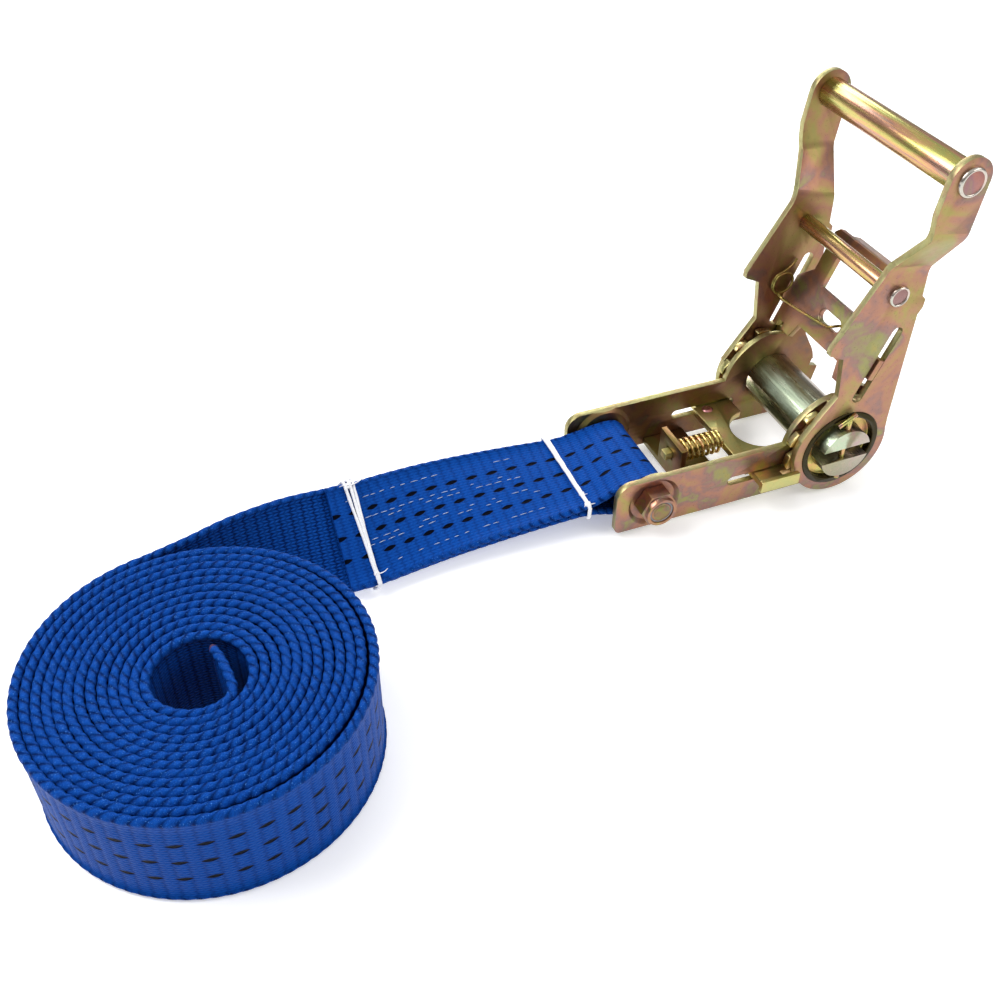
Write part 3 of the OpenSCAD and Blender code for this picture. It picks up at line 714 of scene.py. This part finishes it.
def web_section(s, wound_part):
    """One ring of the webbing as (t, n, side): t across, n out of the plain face."""
    tall = 0.11 if wound_part else 0.045
    wave = abs(math.cos(math.pi * s / RIB_PITCH)) ** 0.8
    rib = tall * (RIBS[int(s / RIB_PITCH + 0.5)] * wave - 0.5)
    full = 1.0 if wound_part else 0.84
    reach = WEB_W / 2 - 1.5
    cols = np.linspace(-1, 1, COLUMNS)
    # the marked face, from one edge to the other
    pts = [(c * (reach - 0.5), -HALF_THICK - rib, -1.0) for c in cols]
    # the rope-like selvedge at +t
    for k in range(COLUMNS):
        f = math.radians(-100 + 25 * k)
        r = (1.14 + 0.42 * abs(math.sin(f * 0.95 - math.pi * s / TWINE_PITCH)) ** 0.6) * full
        pts.append(selvedge_point(reach, f, r))
    # the plain face, back again
    pts += [(c * (reach - 0.5), HALF_THICK + rib, 1.0) for c in cols[::-1]]
    # the other selvedge, pressed smoother under the coil
    for k in range(COLUMNS):
        f = math.radians(80 + 25 * k)
        lobe = abs(math.sin(f * 0.95 + math.pi * s / TWINE_PITCH)) ** 0.6
        r = (1.16 + 0.40 * (0.5 + 0.5 * lobe if wound_part else lobe)) * full
        pts.append(selvedge_point(-reach, f, r))
    return pts


lead_at = length[len(wound)]
# the strap strays a little sideways
wander = np.convolve([rng.uniform(-1, 1) for _ in range(len(S) + 40)], np.hanning(41) / 20,
                     "valid")[:len(S)]
verts, attr = [], []
for i, s in enumerate(S):
    ends = min(1.0, 0.55 + 0.45 * min(s, LONG - s) / 0.9)
    for t, n, side in web_section(s, s < lead_at):
        t2 = t + 0.16 * wander[i]
        verts.append(P[i] + A[i] * t2 + N[i] * n * ends)
        attr.append((s, t, side))
faces = []
for i in range(len(S) - 1):
    a, b = i * RING_POINTS, (i + 1) * RING_POINTS
    for j in range(RING_POINTS):
        q = (j + 1) % RING_POINTS
        faces.append((a + j, a + q, b + q, b + j))
faces.append(tuple(range(RING_POINTS - 1, -1, -1)))
faces.append(tuple((len(S) - 1) * RING_POINTS + j for j in range(RING_POINTS)))
strap = add_piece("webbing_strap", to_row(verts), faces, WEB, "frame",
                  ("strap_coil", "strap_lead", "strap_loop"), attr)


# ---------------------------------------------------------------- sewing
def on_top(x, t, lift):
    """A point on the sewn layer's marked face, over base x, t millimetres across."""
    i = int(np.argmin(np.abs(top_p[:, 0] - x)))
    return top_p[i] + top_a[i] * t + top_n[i] * (0.95 + lift)


stitches = []
for t in (-12.8, -4.9, -3.1, 3.2, 5.0, 12.4):
    x = -184.0 + rng.uniform(0, 3)
    while x < -112:
        if rng.random() < 0.55:
            ln = rng.uniform(1.8, 3.0)
            slant = rng.uniform(-0.10, 0.22)
            pts = [on_top(x + ln * q, t + slant * q, 0.13 * math.sin(math.pi * q))
                   for q in np.linspace(0, 1, 5)]
            stitches.append(tube(pts, [0.04, 0.12, 0.14, 0.12, 0.04], 6))
        x += rng.uniform(3.2, 4.6)
v, f = merge(stitches)
add_piece("strap_stitches", to_row(v), f, THREAD, "frame")


# ---------------------------------------------------------------- string ties
def fuzz(points, amount, seed):
    g = random.Random(seed)
    return [np.asarray(p) + amount * np.array([g.uniform(-1, 1) for _ in range(3)]) for p in points]


TIE_HALF_W, TIE_HALF_H, TIE_ROUND = WEB_W / 2 + 0.7, 3.1, 1.2


def inset(v):
    """A corner's coordinate, moved in by the corner's round."""
    return v - math.copysign(TIE_ROUND, v)


def tie_loop():
    """A string's path round both layers, as (across, up) from their middle."""
    corners = [(TIE_HALF_W, TIE_HALF_H), (-TIE_HALF_W, TIE_HALF_H),
               (-TIE_HALF_W, -TIE_HALF_H), (TIE_HALF_W, -TIE_HALF_H)]
    loop = []
    for k, (t, n) in enumerate(corners):
        for w in np.linspace(0, 90, 5):
            f = math.radians(w + 90 * k)
            loop.append((inset(t) + TIE_ROUND * math.cos(f), inset(n) + TIE_ROUND * math.sin(f)))
        t1, n1 = corners[(k + 1) % 4]
        wide = k % 2 == 0
        for w in np.linspace(0.08, 0.92, 12 if wide else 2):
            if wide:
                loop.append((inset(t) * (1 - w) + inset(t1) * w, n * (1 - w) + n1 * w))
            else:
                loop.append((t * (1 - w) + t1 * w, inset(n) * (1 - w) + inset(n1) * w))
    return loop


def tie(name, node, at_x, heading, strands, knots, seed):
    """Cotton string wound round both layers of the webbing, with its knots and frayed ends."""
    i = int(np.argmin(np.abs(top_p[:, 0] - at_x)))
    centre = top_p[i] - top_n[i] * 1.3
    a, n = top_a[i], top_n[i]
    run = np.cross(a, n)
    parts = []
    g = random.Random(seed)
    loop = tie_loop()
    for shift, spread, radius in strands:
        pts = []
        for t, h in loop:
            x = shift + spread * t / TIE_HALF_W + heading * t
            pts.append(centre + a * t + n * (h + (0.12 if h > 0 else 0)) + run * x)
        pts = fuzz(pts, 0.07, seed + int(shift * 10))
        rad = [radius * g.uniform(0.86, 1.12) for _ in pts]
        parts.append(tube(pts, rad, 8, closed=True))
    for t, h, size, hairs in knots:
        c = centre + a * t + n * h + run * heading * t
        knot = []
        for w in np.linspace(0, 4 * math.pi, 26):
            knot.append(c + a * size * math.cos(w) * 0.8 + run * size * math.sin(w) * 0.9
                        + n * (0.35 * math.sin(1.5 * w)))
        parts.append(tube(knot, 0.42, 7))
        for dx, dt, dn, ln, rad in hairs:
            d = run * dx + a * dt + n * dn
            d = d / np.linalg.norm(d)
            side = np.cross(d, n)
            pts = [c + d * ln * q + side * 0.12 * ln * math.sin(3 * q)
                   + n * 0.05 * ln * math.sin(2.2 * q) for q in np.linspace(0, 1, 7)]
            parts.append(tube(pts, np.linspace(rad, rad * 0.35, 7), 6))
    vv, ff = merge(parts)
    add_piece(name, to_row(vv), ff, STRING, "frame", (node,))


# strands are (shift, spread, radius); knots are (across, up, size, hairs), and a hair is
# (along, across, up, length, radius)
tie("string_tie_coil", "tie_string_coil", -181.8, 0.074,
    [(0.5, 0.4, 0.62), (-0.6, -0.5, 0.58), (1.0, 1.4, 0.45)],
    [(17.5, 3.3, 0.75, [(-1, 0.15, 0.1, 3.4, 0.24), (1, 0.3, 0.25, 8.5, 0.33),
                        (-0.7, -0.6, 0.2, 2.6, 0.2)]),
     (-15.0, 3.2, 0.7, [(1, 0.1, 0.2, 4.2, 0.26), (-0.5, -0.9, 0.1, 2.2, 0.2)])], 11)
tie("string_tie_buckle", "tie_string_buckle", -99.5, -0.10,
    [(0.3, 0.2, 0.60), (-0.5, -0.3, 0.58)],
    [(-12.5, 3.1, 0.7, [(1, -0.5, 0.3, 2.2, 0.24)]),
     (-17.5, 2.8, 0.9, [(1, -0.3, 0.2, 2.8, 0.28), (-0.8, -0.7, 0.2, 2.4, 0.24),
                        (0.2, -1, 0.1, 2.2, 0.24)])], 23)


# ---------------------------------------------------------------- springs
def base_spring():
    """The frame pawl's compression spring, on the pawl's tongue, with closed ends."""
    turns, wire, r = 8.5, 0.68, 4.0
    x0, x1 = -52.85, -35.0
    closed, end_run = 0.8, 1.035    # turns closed at each end, and how far they reach
    pts = []
    n = int(turns * 28)
    for k in range(n + 1):
        q = k / n
        w = 2 * math.pi * turns * q
        lin = min(max((q * turns - closed) / (turns - 2 * closed), 0), 1)
        x = x0 + end_run * min(q * turns, closed) / closed
        x += (x1 - x0 - 2 * end_run) * lin
        x += end_run * max(0, q * turns - (turns - closed)) / closed
        pts.append((x, r * math.cos(w), BOLT[2] + r * math.sin(w)))
    v, f = tube(pts, wire, 10, ref=(0.2, 0.9, 0.3))
    ob = add_piece("base_pawl_coil_spring", to_row(v), f, WIRE, None,
                   ("base_pawl_spring",))
    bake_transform(ob)


def handle_spring():
    """The handle pawl's wire spring: an anchored leg, a loop, and a leg into the oblong hole."""
    u, y, v0, r = 40.5, 26.0, 4.8, 4.4
    path = [(50.4, 26.4, 0.9), (48.8, 26.2, 1.6), (46.4, 26.1, 3.6)]
    for k in range(29):
        w = math.radians(20 + k * 18)
        path.append((u + r * math.cos(w), y - k * 0.05, v0 + r * math.sin(w)))
    path += [(35.2, 22.4, 4.9), (35.4, 14, 3.7), (36, 6, 2.4), (36.7, -1, 1.4), (37.6, -3.6, 0.8),
             (38.1, -4.3, -0.6), (38.1, -4.4, -3.6)]
    pts = from_handle(spline(path, 0.5))
    v, f = tube(pts, 0.55, 10)
    ob = add_piece("handle_pawl_wire_spring", to_row(v), f, DARK_WIRE, None,
                   ("handle_pawl_spring",))
    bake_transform(ob)


base_spring()
handle_spring()

# ---------------------------------------------------------------- floor, light, camera
floor = bpy.data.meshes.new("floor")
floor.from_pydata([(-12, -12, 0), (12, -12, 0), (12, 12, 0), (-12, 12, 0)], [], [(0, 1, 2, 3)])
floor_ob = bpy.data.objects.new("floor", floor)
bpy.context.scene.collection.objects.link(floor_ob)
fm = Nodes("floor_paint")
fm.set(Base_Color=(0.90, 0.90, 0.90, 1.0), Roughness=0.9, Specular_IOR_Level=0.1,
       Emission_Color=(1.0, 1.0, 1.0, 1.0), Emission_Strength=0.34)
floor.materials.append(fm.mat)

world = bpy.data.worlds.new("studio")
bpy.context.scene.world = world
world.use_nodes = True
wt = world.node_tree
bg = wt.nodes["Background"]
tc = wt.nodes.new("ShaderNodeTexCoord")
sx = wt.nodes.new("ShaderNodeSeparateXYZ")
wt.links.new(tc.outputs["Generated"], sx.inputs[0])
wr = wt.nodes.new("ShaderNodeValToRGB")
wr.color_ramp.elements[0].position = 0.48
wr.color_ramp.elements[0].color = (0.22, 0.22, 0.24, 1)
wr.color_ramp.elements[1].position = 0.95
wr.color_ramp.elements[1].color = (1.0, 1.0, 1.0, 1)
mr = wt.nodes.new("ShaderNodeMapRange")
mr.inputs[1].default_value, mr.inputs[2].default_value = -1.0, 1.0
wt.links.new(sx.outputs[2], mr.inputs[0])
wt.links.new(mr.outputs[0], wr.inputs[0])
wt.links.new(wr.outputs[0], bg.inputs[0])
bg.inputs[1].default_value = 0.80


def area(name, loc, target, size, energy):
    light = bpy.data.lights.new(name, "AREA")
    light.shape = "RECTANGLE"
    light.size, light.size_y = size
    light.energy = energy
    ob = bpy.data.objects.new(name, light)
    bpy.context.scene.collection.objects.link(ob)
    ob.location = loc
    ob.rotation_euler = (Vector(target) - Vector(loc)).to_track_quat("-Z", "Y").to_euler()


area("key", (-0.55, 0.25, 0.85), (0, 0, 0.02), (0.6, 0.6), 8.0)
area("fill", (0.75, -0.55, 0.65), (0.05, 0, 0.03), (0.7, 0.5), 3.2)
area("back", (0.25, 0.9, 0.5), (0.05, 0, 0.03), (0.8, 0.3), 4.5)

bpy.context.scene.view_settings.view_transform = "Standard"

cam = bpy.data.cameras.new("camera")
cam_ob = bpy.data.objects.new("camera", cam)
bpy.context.scene.collection.objects.link(cam_ob)
bpy.context.scene.camera = cam_ob
SENSOR_MM, FOCAL_PX, IMAGE_PX = 36.0, 1137.133, 1000.0
cam.sensor_width = SENSOR_MM
cam.lens = SENSOR_MM * FOCAL_PX / IMAGE_PX
cam.clip_start = 0.01
# the photograph's camera, fitted to the coil, the frame, the spool and the handle
yaw, pitch, roll = (math.radians(v) for v in (21.98, 41.531, 0.505))
fwd = Vector((math.sin(yaw) * math.cos(pitch), math.cos(yaw) * math.cos(pitch), -math.sin(pitch)))
right = Vector((math.cos(yaw), -math.sin(yaw), 0))
upv = right.cross(fwd)
r2 = right * math.cos(roll) + upv * math.sin(roll)
u2 = upv * math.cos(roll) - right * math.sin(roll)
rot = Matrix((r2, u2, -fwd)).transposed().to_4x4()
eye_at = to_row([(-245.576, -293.897, 292.033)])[0]
cam_ob.matrix_world = Matrix.Translation(Vector(eye_at)) @ rot
